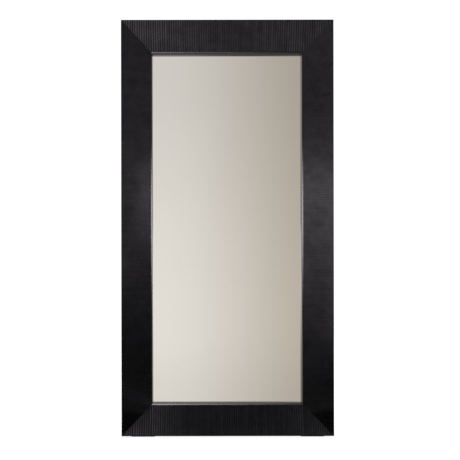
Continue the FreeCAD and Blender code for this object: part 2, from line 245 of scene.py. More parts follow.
class Finish:
    """The nodes of one material, or of the world."""

    def __init__(self, owner):
        owner.use_nodes = True
        self.owner = owner
        self.tree = owner.node_tree
        self.tree.nodes.clear()

    def node(self, kind, inputs, **settings):
        """A new node: its settings first, then the values or links of its sockets."""
        made = self.tree.nodes.new(kind)
        for name, value in settings.items():
            if name == "stops":
                stops = made.color_ramp.elements
                while len(stops) < len(value):
                    stops.new(1.0)
                for stop, (place, tone) in zip(stops, value):
                    stop.position = place
                    stop.color = (tone, tone, tone, 1.0)
            else:
                setattr(made, name, value)
        for name, value in inputs.items():
            socket = made.inputs[name]
            if isinstance(value, Signal):
                self.tree.links.new(value.socket, socket)
            elif socket.type == "RGBA":
                socket.default_value = (*value, 1.0)
            else:
                socket.default_value = value
        return Outputs(self, made)

    def maths(self, operation, first, second=0.0):
        return self.node("ShaderNodeMath", {0: first, 1: second}, operation=operation)["Value"]

    def product(self, first, second):
        """Two vectors or colours multiplied axis by axis."""
        return self.node("ShaderNodeVectorMath", {0: first, 1: second}, operation="MULTIPLY")["Vector"]

    def place(self):
        """Object coordinates, in metres."""
        return self.node("ShaderNodeTexCoord", {})["Object"]

    def axis(self, name):
        return self.node("ShaderNodeSeparateXYZ", {0: self.place()})[name]

    def noise(self, scale, detail=2.0, roughness=0.5, distortion=0.0):
        """Noise over the piece, at one scale or at one for each axis."""
        place = self.place()
        if not isinstance(scale, float):
            place = self.product(place, scale)
            scale = 1.0
        return self.node("ShaderNodeTexNoise", {
            "Vector": place, "Scale": scale, "Detail": detail,
            "Roughness": roughness, "Distortion": distortion})["Fac"]

    def cells(self, scale, output="Distance"):
        return self.node("ShaderNodeTexVoronoi", {"Vector": self.place(), "Scale": scale})[output]

    def spread(self, value, low, high, to_low=0.0, to_high=1.0, curve="LINEAR"):
        """A value carried from one range to another, and held within it."""
        return self.node(
            "ShaderNodeMapRange",
            {"Value": value, "From Min": low, "From Max": high, "To Min": to_low, "To Max": to_high},
            interpolation_type=curve, clamp=True)["Result"]

    def ease(self, value, low, high, to_low=0.0, to_high=1.0):
        """The same with a soft start and end."""
        return self.spread(value, low, high, to_low, to_high, "SMOOTHSTEP")

    def band(self, value, start, full, fade, end):
        """1 between full and fade, and 0 before start and after end."""
        return self.ease(value, start, full) * self.ease(value, fade, end, 1.0, 0.0)

    def blend(self, factor, first, second):
        """A colour between two colours."""
        return self.node("ShaderNodeMix", {0: factor, 6: first, 7: second}, data_type="RGBA")[2]

    def tint(self, colour, amount):
        """A colour made brighter or darker by a number."""
        return self.node("ShaderNodeVectorMath", {0: colour, "Scale": amount}, operation="SCALE")["Vector"]

    def bump(self, height, strength, distance):
        return self.node("ShaderNodeBump", {
            "Height": height, "Strength": strength, "Distance": distance})["Normal"]

    def surface(self, **inputs):
        """The finished surface; names use underscores for spaces."""
        shader = self.node(
            "ShaderNodeBsdfPrincipled", {name.replace("_", " "): value for name, value in inputs.items()})
        self.node("ShaderNodeOutputMaterial", {"Surface": shader["BSDF"]})
        return self.owner

    def light(self, colour):
        """A surface that gives off this colour, whatever falls on it."""
        return self.node("ShaderNodeEmission", {"Color": colour, "Strength": 1.0})["Emission"]

    def mix(self, factor, first, second):
        return self.node("ShaderNodeMixShader", {0: factor, 1: first, 2: second})[0]


def new_finish(name):
    return Finish(bpy.data.materials.new(name))


# Finishes

def reeded_finish(side, colours, pitch, origin):
    """Black lacquer over fine open grain; the reeds and the grain run across the rail."""
    finish = new_finish(side + "_reeded_wood")
    level = side in LEVEL_RAILS
    phase = (finish.axis("X" if level else "Z") - origin) / pitch
    index = finish.maths("FLOOR", phase)
    off_middle = abs(phase - index - 0.5)
    shoulder = finish.ease(off_middle, 0.36, 0.44)
    # Painted shade in the grooves, its strength set for each rail
    strength, start, full = GROOVE_SHADE[side]
    dust_and_shade = strength * finish.ease(off_middle, start, full)

    # A tone for each reed, the grain and two sizes of cloud, each about zero, and where pores and rubs lie
    tone = finish.node("ShaderNodeTexWhiteNoise", {"W": index}, noise_dimensions="1D")["Value"] - 0.5
    stretch = (150.0, 40.0, 5.0) if level else (5.0, 40.0, 150.0)
    grain = finish.noise(stretch, 4.0, 0.62, 0.4) - 0.5
    cloud = finish.noise(7.0, 3.0, 0.55) - 0.5
    blotch = finish.noise(22.0, 3.0, 0.6, 0.5) - 0.5
    pores = finish.spread(finish.noise([5 * scale for scale in stretch], 2.0, 0.6), 0.60, 0.70)
    rub = finish.spread(finish.noise(60.0, 4.0, 0.7), 0.56, 0.78)

    # Painted shade in the grooves darkens the lacquer's colour and thins its film of gloss
    shade = (0.91 + 0.26 * tone + 0.45 * grain + 0.3 * cloud - 0.25 * pores) * (1 - 0.75 * dust_and_shade)
    lines = (0.5 * tone + grain) * (1.0 if level else 0.3)
    film = 0.32 * (1 + lines + 1.5 * blotch + 0.8 * cloud) * (1 - 0.9 * dust_and_shade)
    return finish.surface(
        Base_Color=finish.blend(0.55 * rub * shoulder, finish.tint(colours.lacquer, shade), colours.worn),
        Roughness=0.10 + 0.03 * cloud + 0.03 * tone + 0.06 * pores + 0.05 * rub,
        Specular_IOR_Level=0.10, Coat_Weight=film, Coat_Roughness=0.075,
        Normal=finish.bump(0.5 * (grain - pores), 0.06, 0.0004))


def slip_finish(side, colours):
    """Smooth black lacquer; its front edge is grey metal that carries a painted highlight.

    The painted highlight is stronger to the left on the level slips, and strongest at middle height on the
    side slips.
    """
    finish = new_finish(side + "_slip_lacquer")
    level = side in LEVEL_RAILS
    cloud = finish.noise(30.0, 3.0, 0.6)
    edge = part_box("top_slip")[0].y
    full, end = 0.0006, 0.003
    front = finish.spread(finish.axis("Y"), edge + full, edge + end, 1.0, 0.0)
    # Painted highlight on the front edge: set for each side, stronger to the left on the level slips, and a
    # band at middle height on the side slips
    painted_highlight = SLIP_HIGHLIGHT[side] * (0.8 + 0.4 * cloud)
    if level:
        across = finish.axis("X")
        painted_highlight = (painted_highlight * finish.spread(across, -0.40, -0.14, 1.9, 1.0)
                  * finish.spread(across, -0.14, 0.30, 1.0, 0.33))
    else:
        painted_highlight = painted_highlight + 3.2 * finish.band(finish.axis("Z"), 0.62, 1.15, 1.2, 1.55)
    rub = finish.spread(finish.noise(90.0, 4.0, 0.7), 0.60, 0.8)
    black = finish.blend(0.4 * rub, finish.tint(colours.slip, 0.7 + 0.6 * cloud), colours.worn)
    return finish.surface(
        Base_Color=finish.blend(front, black, finish.tint(colours.highlight_grey, painted_highlight)),
        Metallic=front, Specular_IOR_Level=0.15 if level else 0.6,
        Roughness=finish.spread(front, 0.0, 1.0, 0.12, 0.42) + 0.06 * (cloud - 0.5) + 0.05 * rub,
        Normal=finish.bump(finish.noise(300.0), 0.06, 0.0002))


def mirror_finish(sizes, colours):
    """Warm silvering behind clear glass, very slightly clouded with age and darker towards the slips."""
    finish = new_finish("silvered_glass")
    cloud = finish.noise(2.6, 3.0, 0.55, 0.5)
    patch = finish.ease(finish.noise(11.0, 4.0, 0.6, 0.8), 0.58, 0.74)
    speck = finish.spread(finish.cells(55.0), 0.0, 0.07, 1.0, 0.0)
    opening = BOX_HIGH.x - sizes.face_width - sizes.slip_width
    inside, outside = 0.004, 0.016
    edge = finish.ease(abs(finish.axis("X")), opening - inside, opening + outside)
    tone = 1.0 - 0.03 * (cloud - 0.5) - 0.018 * patch - 0.05 * speck * patch - 0.10 * edge
    return finish.surface(Base_Color=finish.tint(colours.silver, tone), Metallic=1.0, Roughness=0.0)


def timber_finish(colours):
    """Thin black lacquer on planed timber, rubbed at the frame's outer edges."""
    finish = new_finish("painted_timber")
    rubbed_width = 0.003
    grain = finish.noise((9.0, 70.0, 9.0), 5.0, 0.6, 0.6)
    fine = finish.noise((60.0, 400.0, 60.0), 3.0, 0.6)
    cloud = finish.noise(5.0, 3.0, 0.55)
    near = []
    for name, low, high in (("X", BOX_LOW.x, BOX_HIGH.x), ("Y", BOX_LOW.y, FRAME_BACK),
                            ("Z", FRAME_FLOOR, BOX_HIGH.z)):
        depth = (high - low) / 2 - abs(finish.axis(name) - (high + low) / 2)
        near.append(finish.ease(depth, 0.0, rubbed_width, 1.0, 0.0))
    rub = near[0] * near[1] + near[0] * near[2] + near[1] * near[2]
    chips = finish.spread(finish.noise(45.0, 5.0, 0.7), 0.50, 0.66)
    shade = 0.9 + 0.5 * (grain - 0.5) + 0.4 * (cloud - 0.5) + 0.2 * (fine - 0.5)
    return finish.surface(
        Base_Color=finish.blend(rub * chips, finish.tint(colours.lacquer, 1.6 * shade), colours.worn),
        Roughness=0.40 + 0.12 * (cloud - 0.5) + 0.1 * (fine - 0.5), Specular_IOR_Level=0.5,
        Normal=finish.bump(0.7 * grain + 0.3 * fine, 0.18, 0.0005))


def board_finish(colours):
    """Brown hardboard: fibres pressed both ways, faint mottling and dark flecks."""
    finish = new_finish("brown_fibreboard")
    fibres = finish.noise((420.0, 420.0, 160.0), 4.0, 0.7, 1.2)
    cross = finish.noise((160.0, 420.0, 420.0), 4.0, 0.7, 1.2)
    cloud = finish.noise(4.0, 4.0, 0.6)
    fleck = finish.spread(finish.noise(130.0, 3.0, 0.6), 0.62, 0.72)
    shade = 0.95 + 0.34 * (fibres - 0.5) + 0.34 * (cross - 0.5) + 0.30 * (cloud - 0.5)
    return finish.surface(
        Base_Color=finish.blend(0.35 * fleck, finish.tint(colours.board, shade), colours.fleck),
        Roughness=0.58 + 0.16 * (cloud - 0.5) + 0.1 * (fibres - 0.5), Specular_IOR_Level=0.4,
        Normal=finish.bump(fibres + cross, 0.16, 0.0004))


def plated_finish(name, tone, rough):
    """Plated steel: clouded plating, fine rolling lines and a few scratches."""
    finish = new_finish(name)
    flakes = finish.node("ShaderNodeSeparateColor", {"Color": finish.cells(260.0, "Color")})["Red"]
    cloud = finish.noise(55.0, 4.0, 0.6)
    lines = finish.noise((1500.0, 1500.0, 60.0), 2.0, 0.6)
    scratch = finish.spread(finish.noise((90.0, 900.0, 700.0), 2.0, 0.6, 1.0), 0.66, 0.70)
    shade = 0.92 + 0.12 * (flakes - 0.5) + 0.22 * (cloud - 0.5) - 0.10 * scratch
    return finish.surface(
        Base_Color=finish.tint(tone, shade), Metallic=1.0,
        Roughness=rough + 0.14 * (cloud - 0.5) + 0.06 * (flakes - 0.5) + 0.1 * scratch,
        Normal=finish.bump(lines + 0.5 * cloud, 0.08, 0.0002))


def rubber_finish(name, colours, rough):
    """Moulded rubber with a fine skin and a little dust."""
    finish = new_finish(name)
    skin = finish.noise(1400.0, 3.0, 0.6)
    cloud = finish.noise(60.0, 4.0, 0.6)
    dust_and_shade = finish.spread(cloud, 0.52, 0.75)
    return finish.surface(
        Base_Color=finish.blend(0.35 * dust_and_shade, finish.tint(colours.rubber, 0.85 + 0.3 * skin), colours.dust_and_shade),
        Roughness=rough + 0.15 * (cloud - 0.5) + 0.15 * dust_and_shade, Specular_IOR_Level=0.4,
        Normal=finish.bump(skin, 0.15, 0.0002))


def foam_finish(colours):
    """Black closed-cell foam."""
    finish = new_finish("foam_tape")
    cell = finish.cells(1600.0)
    cloud = finish.noise(80.0)
    return finish.surface(
        Base_Color=finish.tint(colours.foam, 0.6 + 0.6 * cell + 0.3 * cloud),
        Roughness=0.85 + 0.1 * (cloud - 0.5), Specular_IOR_Level=0.3,
        Normal=finish.bump(cell, 0.4, 0.0003))


def ply_finish(colours):
    """Bare plywood: thin plies through its thickness, and a fine grain."""
    finish = new_finish("tongue_ply")
    two_plies = 0.0032
    plies = finish.maths("SINE", finish.axis("Y") * (2 * pi / two_plies))
    grain = finish.noise((30.0, 300.0, 300.0), 4.0, 0.6, 0.5)
    shade = 0.85 + 0.12 * plies + 0.4 * (grain - 0.5)
    return finish.surface(
        Base_Color=finish.tint(colours.ply, shade), Roughness=0.66 + 0.1 * (grain - 0.5),
        Specular_IOR_Level=0.3, Normal=finish.bump(grain, 0.2, 0.0004))


def packer_finish(colours):
    """Moulded plastic of the glass packers."""
    finish = new_finish("packer_plastic")
    skin = finish.noise(500.0, 3.0, 0.6)
    cloud = finish.noise(40.0)
    return finish.surface(
        Base_Color=finish.tint(colours.packer, 0.85 + 0.3 * cloud),
        Roughness=0.45 + 0.1 * (cloud - 0.5), Specular_IOR_Level=0.5, Normal=finish.bump(skin, 0.1, 0.0002))


# Modelling helpers

# Distance under which two places count as one
CLOSE = 0.00001


def meets(value, target):
    return abs(value - target) < CLOSE


def leave_edit():
    if bpy.context.mode != "OBJECT":
        bpy.ops.object.mode_set(mode="OBJECT")


def enter_edit():
    bpy.ops.object.mode_set(mode="EDIT")


def select_only(*objects):
    leave_edit()
    for chosen in list(bpy.context.selected_objects):
        chosen.select_set(False)
    for chosen in objects:
        chosen.select_set(True)
    if objects:
        bpy.context.view_layer.objects.active = objects[0]


def select_whole():
    bpy.ops.mesh.select_all(action="SELECT")


def apply_place():
    bpy.ops.object.transform_apply(location=True, rotation=True, scale=True)


def name_piece(name):
    piece = bpy.context.object
    piece.name = name
    piece.data.name = name
    return piece


def start_block(name, low, high):
    """A block between two corners, in edit mode with nothing selected."""
    select_only()
    bpy.ops.mesh.primitive_cube_add(size=1.0, location=(low + high) / 2)
    piece = name_piece(name)
    piece.scale = high - low
    apply_place()
    enter_edit()
    bpy.ops.mesh.select_all(action="DESELECT")
    return piece


def extrude(direction):
    bpy.ops.mesh.extrude_region_move(TRANSFORM_OT_translate={"value": direction})


def close_normals(gap=CLOSE, inside=False):
    select_whole()
    bpy.ops.mesh.remove_doubles(threshold=gap)
    bpy.ops.mesh.normals_make_consistent(inside=inside)


def draw_line(name, points, closed=False):
    """A line drawn point by point, each extruded from the one before, in edit mode."""
    points = [Vector(point) for point in points]
    select_only()
    bpy.ops.mesh.primitive_plane_add(size=0.001, location=points[0])
    piece = name_piece(name)
    apply_place()
    enter_edit()
    bpy.ops.mesh.select_mode(type="VERT")
    select_whole()
    bpy.ops.mesh.merge(type="CENTER")
    path = points + points[:1] if closed else points
    for last, point in zip(path[:-1], path[1:]):
        extrude(point - last)
    if closed:
        select_whole()
        bpy.ops.mesh.remove_doubles(threshold=CLOSE)
        select_whole()
        bpy.ops.mesh.edge_face_add()
    return piece


def pull(direction):
    """Pulls a drawn outline into a solid."""
    select_whole()
    extrude(direction)
    close_normals()


def turn_round(steps, gap=CLOSE, inside=False):
    """Turns a profile round the Z axis into a closed surface."""
    select_whole()
    bpy.ops.mesh.spin(steps=steps, angle=radians(360), center=(0, 0, 0), axis=(0, 0, 1))
    close_normals(gap, inside)


def pick(piece, kind, test):
    """Selects the faces, edges or points that pass a test; at least one must."""
    bpy.ops.mesh.select_mode(type={"faces": "FACE", "edges": "EDGE", "verts": "VERT"}[kind])
    bpy.ops.mesh.select_all(action="DESELECT")
    mesh = bmesh.from_edit_mesh(piece.data)
    found = [part for part in getattr(mesh, kind) if test(part)]
    if not found:
        raise RuntimeError(piece.name + " has none of the " + kind + " to select")
    for part in found:
        part.select_set(True)
    mesh.select_flush_mode()
    bmesh.update_edit_mesh(piece.data)


def ends(edge):
    return [vert.co for vert in edge.verts]


def runs_along(edge, axis):
    first, second = ends(edge)
    return (second - first).normalized()[axis] ** 2 > 0.99


def cut_away(point, normal):
    """Cuts the piece by a plane, drops what lies in front of it and closes the cut."""
    select_whole()
    bpy.ops.mesh.bisect(plane_co=point, plane_no=normal, use_fill=True, clear_outer=True)


def round_edges(offset, segments):
    bpy.ops.mesh.bevel(offset=offset, offset_type="OFFSET", segments=segments, profile=0.5)


def take_out(piece, cutters):
    """Cuts each cutter's shape out of the piece."""
    for cutter in cutters:
        select_only(piece)
        cut = piece.modifiers.new("cut", "BOOLEAN")
        cut.operation = "DIFFERENCE"
        cut.solver = "EXACT"
        cut.object = cutter
        bpy.ops.object.modifier_apply(modifier=cut.name)
    for cutter in cutters:
        bpy.data.meshes.remove(cutter.data)


def copy_to(piece, matrix):
    """A copy of the piece with its own mesh, at another place."""
    select_only(piece)
    bpy.ops.object.duplicate(linked=False)
    copy = bpy.context.object
    copy.matrix_world = matrix @ copy.matrix_world
    apply_place()
    return copy


def finish_piece(piece, body, nodes, material, angle=35.0):
    """Closes the piece: smooth shading, its material, its body and the nodes it stands for."""
    select_only(piece)
    apply_place()
    bpy.ops.object.shade_smooth_by_angle(angle=radians(angle), keep_sharp_edges=False)
    piece.data.materials.clear()
    piece.data.materials.append(material)
    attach(piece, body)
    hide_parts(*nodes)


def set_copies(original, copies, material, angle):
    """Sets a copy of a fitting in each place and drops the original.

    A copy is given as its name, its body, the node it stands for and its place.
    """
    for name, body, node, matrix in copies:
        piece = copy_to(original, matrix)
        name_piece(name)
        finish_piece(piece, body, [node], material, angle)
    bpy.data.meshes.remove(original.data)


def dress(nodes, material):
    """Gives CAD nodes that keep their shape their finish."""
    for name in nodes:
        node = frame["nodes"][name]
        node.data.materials.clear()
        node.data.materials.append(material)


# Places

def depth_of(y):
    """Depth behind the front of the frame."""
    return y - BOX_LOW.y


def side_place(side):
    """Where a rail goes that is modelled as the top rail, its outer edge at zero, and how long it is."""
    low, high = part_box(side + "_rail")
    front = BOX_LOW.y
    if side in LEVEL_RAILS:
        place = Vector((0, front, high.z if side == "top" else low.z))
        run = high.x - low.x
    else:
        place = Vector((high.x if side == "right" else low.x, front, (low.z + high.z) / 2))
        run = high.z - low.z
    return Matrix.Translation(place) @ Matrix.Rotation(radians(RAIL_TURNS[side]), 4, "Y"), run


def corner_place(name):
    """Where a fitting goes that is modelled at the top right corner, its outer point at zero."""
    x = BOX_HIGH.x if name.endswith("right") else BOX_LOW.x
    z = BOX_HIGH.z if name.startswith("top") else FRAME_FLOOR
    return Matrix.Translation((x, FRAME_BACK, z)) @ Matrix.Rotation(radians(CORNER_TURNS[name]), 4, "Y")


def mitre_and_place(piece, place, run, gap):
    """Cuts both mitres of a rail that is modelled as the top rail, and sets it in its place."""
    for end in (-1, 1):
        cut_away((end * (run / 2 - gap), 0, 0), (end, 0, -1))
    leave_edit()
    piece.matrix_world = place @ piece.matrix_world


def glass_step(sizes):
    """From the frame's outer edge to the step that holds the glass."""
    return BOX_HIGH.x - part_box("mirror_glass")[1].x - sizes.rebate_gap


# Rails, facings, slips and glass

def model_rail(side, sizes, material):
    """One timber rail: its stepped section is drawn, pulled along and mitred."""
    place, run = side_place(side)
    facing = sizes.facing_thickness / cos(atan2(sizes.face_drop, sizes.face_width))
    tape_front = depth_of(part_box("top_glass_tape")[0].y)
    board_front = depth_of(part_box("backing_board")[0].y)
    back = depth_of(FRAME_BACK)
    glass_line = glass_step(sizes)
    board_line = glass_line - sizes.board_shelf
    section = [
        (0, facing), (sizes.face_width, facing + sizes.face_drop), (sizes.face_width, tape_front),
        (glass_line, tape_front), (glass_line, board_front), (board_line, board_front),
        (board_line, back), (0, back)]
    outline = [(-run / 2, depth, -inward) for inward, depth in section]
    piece = draw_line(side + "_timber_rail", outline, closed=True)
    pull((run, 0, 0))

    # Ease the two edges of the back face
    pick(piece, "edges", lambda edge: runs_along(edge, 0) and meets(ends(edge)[0].y, back))
    round_edges(sizes.rail_arris, 3)
    mitre_and_place(piece, place, run, sizes.mitre_gap)
    finish_piece(piece, "frame", [side + "_rail"], material)


def model_facing(side, sizes, colours):
    """One reeded facing: a reed is modelled, sloped, repeated along the rail and mitred."""
    place, run = side_place(side)
    kind = "reed" if side in LEVEL_RAILS else "side_reed"
    land, height, arris = (getattr(sizes, kind + part) for part in ("_land", "_height", "_arris"))
    count = round(run / sizes.reed_pitch)
    pitch = run / count
    first = -run / 2 - pitch
    last = first + pitch
    spare = 0.01
    piece = start_block(
        side + "_reeded_face",
        Vector((first, height, -spare - hypot(sizes.face_width, sizes.face_drop))),
        Vector((last, sizes.facing_thickness, spare)))

    # Raise the land from the groove's bottom and round its shoulders
    pick(piece, "faces", lambda face: face.normal.y < -0.5)
    extrude((0, -height, 0))
    centre = Vector((first + pitch / 2, 0, 0))
    bpy.ops.transform.resize(value=(land / pitch, 1, 1), center_override=centre)
    pick(piece, "edges", lambda edge: runs_along(edge, 2) and meets(ends(edge)[0].y, 0))
    round_edges(arris, 4)

    # Slope the reed and cut its two ends
    leave_edit()
    piece.matrix_world = Matrix.Rotation(atan2(sizes.face_drop, sizes.face_width), 4, "X")
    apply_place()
    enter_edit()
    cut_away((0, 0, 0), (0, 0, 1))
    cut_away((0, 0, -sizes.face_width), (0, 0, -1))

    # Round its outer end with five cuts, by their angles from the front
    centre = Vector((0, sizes.face_arris, -sizes.face_arris))
    for angle in (5, 25, 45, 65, 82):
        outward = Vector((0, -cos(radians(angle)), sin(radians(angle))))
        cut_away(centre + outward * sizes.face_arris, outward)

    # Open its sides and repeat it along the rail
    pick(piece, "faces", lambda face: any(
        all(meets(vert.co.x, side_x) for vert in face.verts) for side_x in (first, last)))
    bpy.ops.mesh.delete(type="ONLY_FACE")
    leave_edit()
    repeat = piece.modifiers.new("reeds", "ARRAY")
    repeat.use_relative_offset = False
    repeat.use_constant_offset = True
    repeat.constant_offset_displace = (pitch, 0, 0)
    repeat.count = count + 2
    repeat.use_merge_vertices = True
    repeat.merge_threshold = 5 * CLOSE
    bpy.ops.object.modifier_apply(modifier=repeat.name)
    enter_edit()
    mitre_and_place(piece, place, run, sizes.mitre_gap)

    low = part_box(side + "_facing")[0]
    material = reeded_finish(side, colours, pitch, low.x if side in LEVEL_RAILS else low.z)
    finish_piece(piece, "frame", [side + "_facing"], material, 10.0)


def model_slip(side, sizes, material):
    """One slip: a strip with a rounded front arris, mitred."""
    place, run = side_place(side)
    low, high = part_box(side + "_slip")
    front = depth_of(low.y)
    inner = sizes.face_width + sizes.slip_width
    piece = start_block(
        side + "_slip_strip", Vector((-run / 2, front, -inner)),
        Vector((run / 2, depth_of(high.y), -sizes.face_width)))
    pick(piece, "edges", lambda edge: all(meets(co.y, front) and meets(co.z, -inner) for co in ends(edge)))
    round_edges(sizes.slip_arris, 6)
    mitre_and_place(piece, place, run, sizes.mitre_gap)
    finish_piece(piece, "frame", [side + "_slip"], material)


def model_glass(sizes, material):
    """The mirror glass, with its arrises taken off."""
    piece = start_block("mirror_pane", *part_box("mirror_glass"))
    pick(piece, "edges", lambda edge: True)
    round_edges(sizes.glass_arris, 1)
    finish_piece(piece, "frame", ["mirror_glass"], material, 20.0)


# Screws

def model_screw(reach, shank, head):
    """A countersunk screw that points down, its head's face at zero, with a cross recess."""
    neck = head - shank
    rim = 0.0001
    tip = 0.2 * reach
    profile = [(0, 0), (head - 2 * rim, 0), (head, -rim), (head, -2.5 * rim), (shank, -neck),
               (shank, tip - reach), (0, -reach)]
    piece = draw_line("screw", [(x, 0, z) for x, z in profile])
    turn_round(20)

    # The recess is cut by two crossed blocks that narrow downwards
    half = Vector((0.62 * head, 0.11 * head, 0))
    bottom, above = Vector((0, 0, -0.75 * neck)), Vector((0, 0, 0.001))
    narrowing = (0.55, 0.7, 1)
    cutters = []
    for turn in (0, 90):
        cutter = start_block("recess", bottom - half, above + half)
        pick(cutter, "faces", lambda face: face.normal.z < -0.5)
        bpy.ops.transform.resize(value=narrowing, center_override=(0, 0, 0))
        leave_edit()
        cutter.matrix_world = Matrix.Rotation(radians(turn), 4, "Z")
        cutters.append(cutter)
    take_out(piece, cutters)
    return piece


def set_screws(name, sizes, places, facing, node, material):
    """A set of screws: one is modelled and copied to each place, each turned its own way."""
    screw = model_screw(*sizes)
    copies = []
    for index, place in enumerate(places):
        spin = Matrix.Rotation(radians(37 * index + 11), 4, "Z")
        copies.append(copy_to(screw, Matrix.Translation(place) @ facing @ spin))
    bpy.data.meshes.remove(screw.data)
    select_only(*copies)
    bpy.ops.object.join()
    finish_piece(name_piece(name), "frame", [node], material, 30.0)


def board_screw_places(sizes, fittings):
    """Places round the backing board, evenly spaced along each side."""
    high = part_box("backing_board")[1]
    line = (BOX_HIGH.x - high.x + glass_step(sizes)) / 2
    places = []
    for side in RAIL_TURNS:
        matrix, run = side_place(side)
        span = run - 2 * (line + fittings.board_screw_end)
        gaps = max(1, round(span / fittings.board_screw_spacing))
        for index in range(gaps + 1):
            places.append(matrix @ Vector((span * (index / gaps - 0.5), depth_of(high.y), -line)))
    return places


def brace_hole_points(fittings):
    """Hole places of a brace at the top right corner, three along each leg."""
    line = fittings.brace_inset + fittings.brace_width / 2
    first = fittings.brace_inset + fittings.brace_leg - fittings.brace_hole_end
    points = []
    for index in range(3):
        along = first - index * fittings.brace_hole_spacing
        points.append(Vector((-along, fittings.brace_thickness, -line)))
        points.append(Vector((-line, fittings.brace_thickness, -along)))
    return points


def strap_hole_points(fittings):
    """Hole places of a strap above its ring's axis."""
    depth = 2 * fittings.strap_sheet
    return [Vector((0, depth, (index + 1) * fittings.strap_hole_spacing)) for index in range(3)]


def pad_screw_places(side, fittings):
    """Places under a floor pad, one towards each end."""
    low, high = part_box(side + "_floor_pad")
    middle = (low + high) / 2
    return [Vector((middle.x + end * fittings.pad_screw_spacing / 2, middle.y, fittings.pad_screw_sink))
            for end in (-1, 1)]


# Braces, hangers, bumpers and pads

def cone(place, low_radius, high_radius, height, turn=0):
    """A cone that cuts a countersink, turned about X."""
    select_only()
    bpy.ops.mesh.primitive_cone_add(
        vertices=24, radius1=low_radius, radius2=high_radius, depth=height,
        location=place, rotation=(radians(turn), 0, 0))
    return bpy.context.object


def countersinks(points, head, depth):
    """Cones that open towards the back, one for each hole, with room for a screw's head."""
    room, overrun = 0.0006, 0.0005
    wide = head + room
    return [cone(point + Vector((0, overrun - depth / 2, 0)), wide, wide - depth, depth, 90)
            for point in points]


def model_braces(fittings, material):
    """The corner braces: one is drawn, pulled, rounded and drilled, and copied to each corner."""
    outer = fittings.brace_inset
    inner = outer + fittings.brace_width
    end = outer + fittings.brace_leg
    thickness = fittings.brace_thickness
    outline = [(outer, outer), (end, outer), (end, inner), (inner, inner), (inner, end), (outer, end)]
    brace = draw_line("brace", [(-x, 0, -z) for x, z in outline], closed=True)
    pull((0, thickness, 0))
    pick(brace, "edges", lambda edge: runs_along(edge, 1))
    round_edges(fittings.brace_corner, 5)
    take_out(brace, countersinks(brace_hole_points(fittings), BRACE_SCREW[2], fittings.brace_sink))
    enter_edit()
    pick(brace, "edges", lambda edge: all(meets(co.y, thickness) for co in ends(edge))
         and edge.is_manifold and edge.calc_face_angle() > radians(40))
    round_edges(fittings.brace_arris, 2)
    leave_edit()
    set_copies(brace, [(name + "_brace_plate", "frame", name + "_brace", corner_place(name))
                       for name in CORNER_TURNS], material, 30.0)


def hanger_axis(side):
    """The middle of the ring's axis, set on the rail's back."""
    joint = next(joint for joint in frame["joints"] if joint["name"] == side + "_ring_swing")
    x, _, z = joint["pos_m"]
    return Vector((x, FRAME_BACK, z))


def eye_radius(fittings):
    """Outer radius of the strap's eye, which lies on the rail's back."""
    return fittings.ring_wire + fittings.ring_play + fittings.strap_sheet


def model_straps(fittings, material):
    """The strap hangers: a strip of sheet folded round the ring's bar, rounded and drilled."""
    sheet = fittings.strap_sheet
    outer = eye_radius(fittings)
    middle = outer - sheet / 2
    top = fittings.strap_length
    half = fittings.strap_width / 2

    # The fold starts at the rail and stops a little short of a full turn, on its own first layer
    wrap = 2 * pi - 0.9455
    steps = 22
    path = [(sheet / 2, top)]
    for index in range(steps + 1):
        angle = pi + wrap * index / steps
        path.append((outer + middle * cos(angle), middle * sin(angle)))
    path.append((1.5 * sheet, top))
    strap = draw_line("strap", [(-half, y, z) for y, z in path])
    select_whole()
    extrude((2 * half, 0, 0))

    # Round the top, all but a short flat
    flat_half = 0.0004
    pick(strap, "verts", lambda vert: vert.co.z > top - CLOSE)
    bpy.ops.mesh.bevel(offset=half - flat_half, segments=8, affect="VERTICES")
    select_only(strap)

    # The two layers of sheet keep a hair's breadth between them
    wall = strap.modifiers.new("sheet", "SOLIDIFY")
    wall.thickness = 0.96 * sheet
    wall.offset = 0.0
    bpy.ops.object.modifier_apply(modifier=wall.name)
    take_out(strap, countersinks(strap_hole_points(fittings), STRAP_SCREW[2], fittings.strap_sink))
    set_copies(strap, [(side + "_strap", "frame", side + "_hanger_strap",
                        Matrix.Translation(hanger_axis(side))) for side in HANDS],
               material, 30.0)


def model_rings(fittings, material):
    """The hanger rings: a round wire run along its bar, bends, legs and bow."""
    half = fittings.ring_bar / 2
    bend = fittings.ring_bend
    leg = fittings.ring_leg
    select_only()
    bpy.ops.mesh.primitive_circle_add(
        vertices=20, radius=fittings.ring_wire, location=(0, 0, 0), rotation=(0, radians(90), 0))
    ring = name_piece("ring")
    apply_place()
    enter_edit()
    select_whole()

    def turn(x, z, angle, steps):
        bpy.ops.mesh.spin(steps=steps, angle=radians(angle), center=(x, 0, z), axis=(0, -1, 0))

    extrude((half, 0, 0))
    turn(half, -bend, 90, 8)
    extrude((0, 0, -leg))
    turn(0, -bend - leg, 180, 28)
    extrude((0, 0, leg))
    turn(-half, -bend, 90, 8)
    extrude((half, 0, 0))
    close_normals()
    leave_edit()
    off_rail = Vector((0, eye_radius(fittings), 0))
    set_copies(ring, [(side + "_ring_wire", side + "_ring", side + "_hanger_ring",
                       Matrix.Translation(hanger_axis(side) + off_rail)) for side in HANDS],
               material, 60.0)


